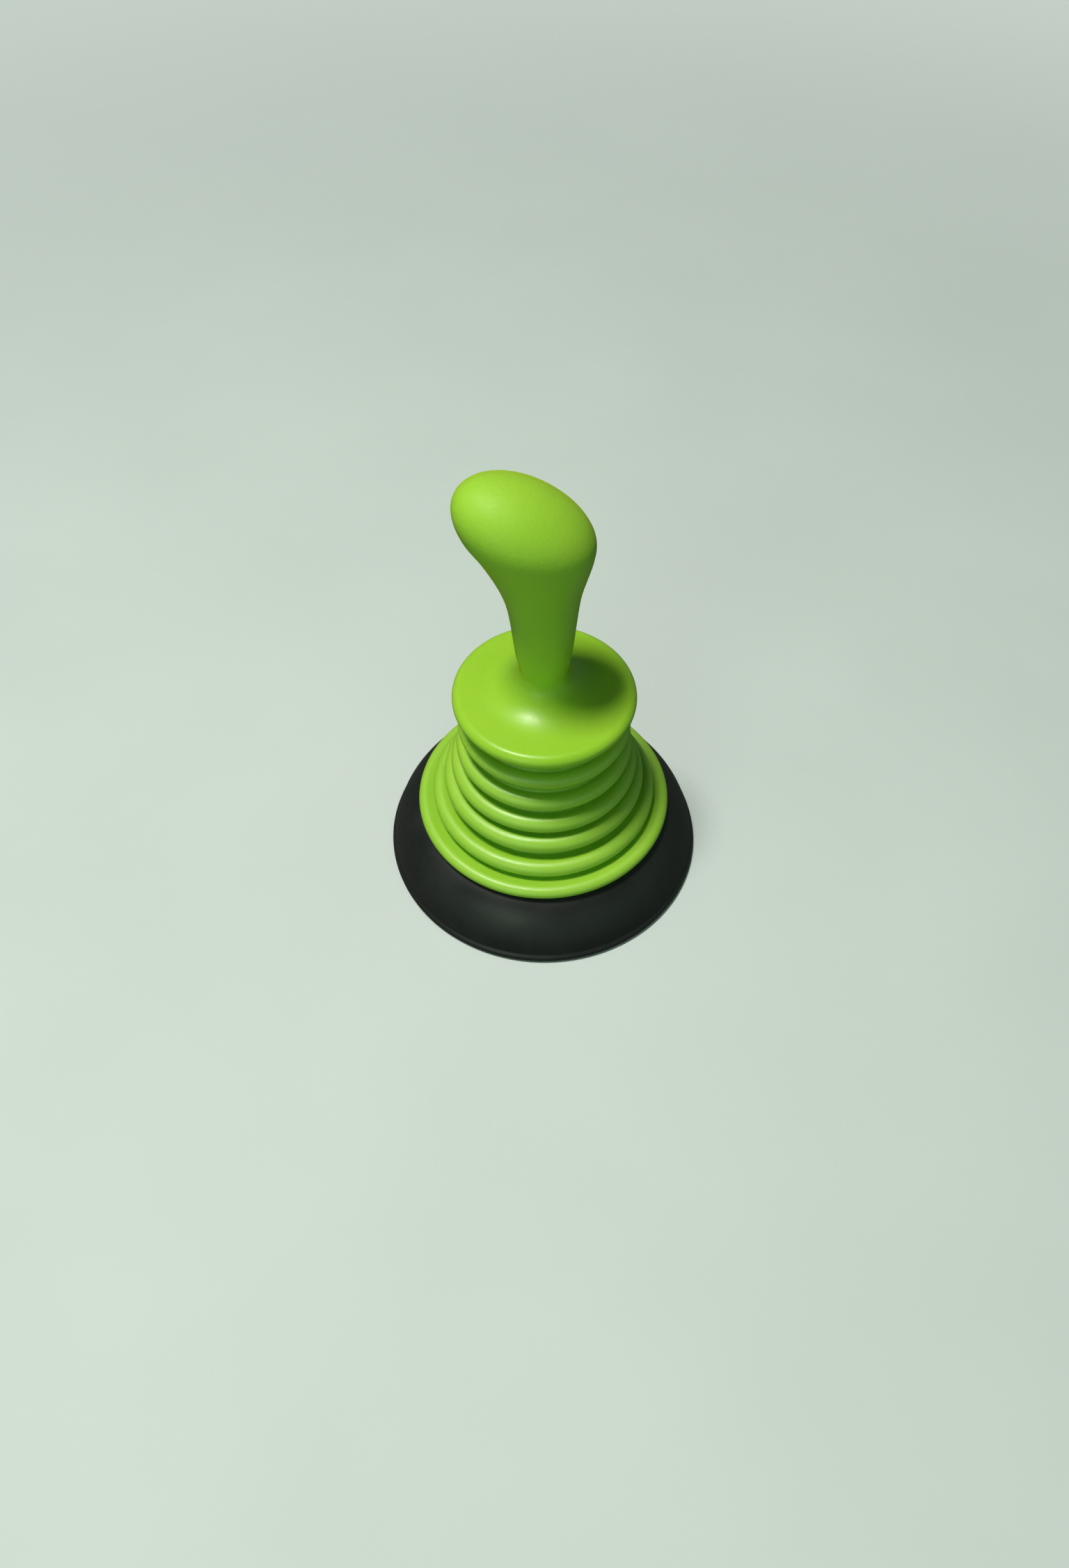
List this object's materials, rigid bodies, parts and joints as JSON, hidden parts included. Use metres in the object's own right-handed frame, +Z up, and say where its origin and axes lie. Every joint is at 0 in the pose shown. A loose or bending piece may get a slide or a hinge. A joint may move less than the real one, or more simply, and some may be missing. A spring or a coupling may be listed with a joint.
{
  "type": "sink plunger",
  "caption": "Hand sink plunger: offset knob handle with a flange over a stepped lime bellows and a black rubber suction cup.",
  "frame": {"origin": "centre of the suction cup's lip, on the plane the plunger stands on", "axes": "+Z up along the bellows and the stem; the knob overhangs towards -X; the object is the same on its +Y and -Y sides"},
  "size_m": [0.122, 0.122, 0.1763],
  "materials": {
    "grip_lime": "satin, soft-touch lime green",
    "bellows_lime": "satin-gloss lime green, moulded",
    "cup_rubber": "moulded black rubber",
    "gasket_rubber": "matte black",
    "core_plastic": "natural white nylon",
    "screw_steel": "stainless",
    "insert_brass": "turned"
  },
  "bodies": {
    "cup": {"suction_cup": "cup_rubber"},
    "foot": {"bellows": "bellows_lime", "neck_hoop": "core_plastic"},
    "handle": {"handle_grip": "grip_lime", "handle_core": "core_plastic", "threaded_insert": "insert_brass", "centre_screw": "screw_steel", "screw_washer": "screw_steel", "clamp_plate": "core_plastic", "deck_gasket": "gasket_rubber"}
  },
  "joints": [
    {"name": "lean", "type": "hinge", "parent": "cup", "child": "foot", "pos_m": [0, 0, 0.024], "axis": [0, 1, 0], "range_deg": [-8, 8], "stiffness_Nm_per_rad": 6, "deforming": ["suction_cup"]},
    {"name": "pump_stroke", "type": "slide", "parent": "foot", "child": "handle", "axis": [0, 0, -1], "range_m": [0, 0.03], "stiffness_N_per_m": 700, "deforming": ["bellows"]}
  ]
}
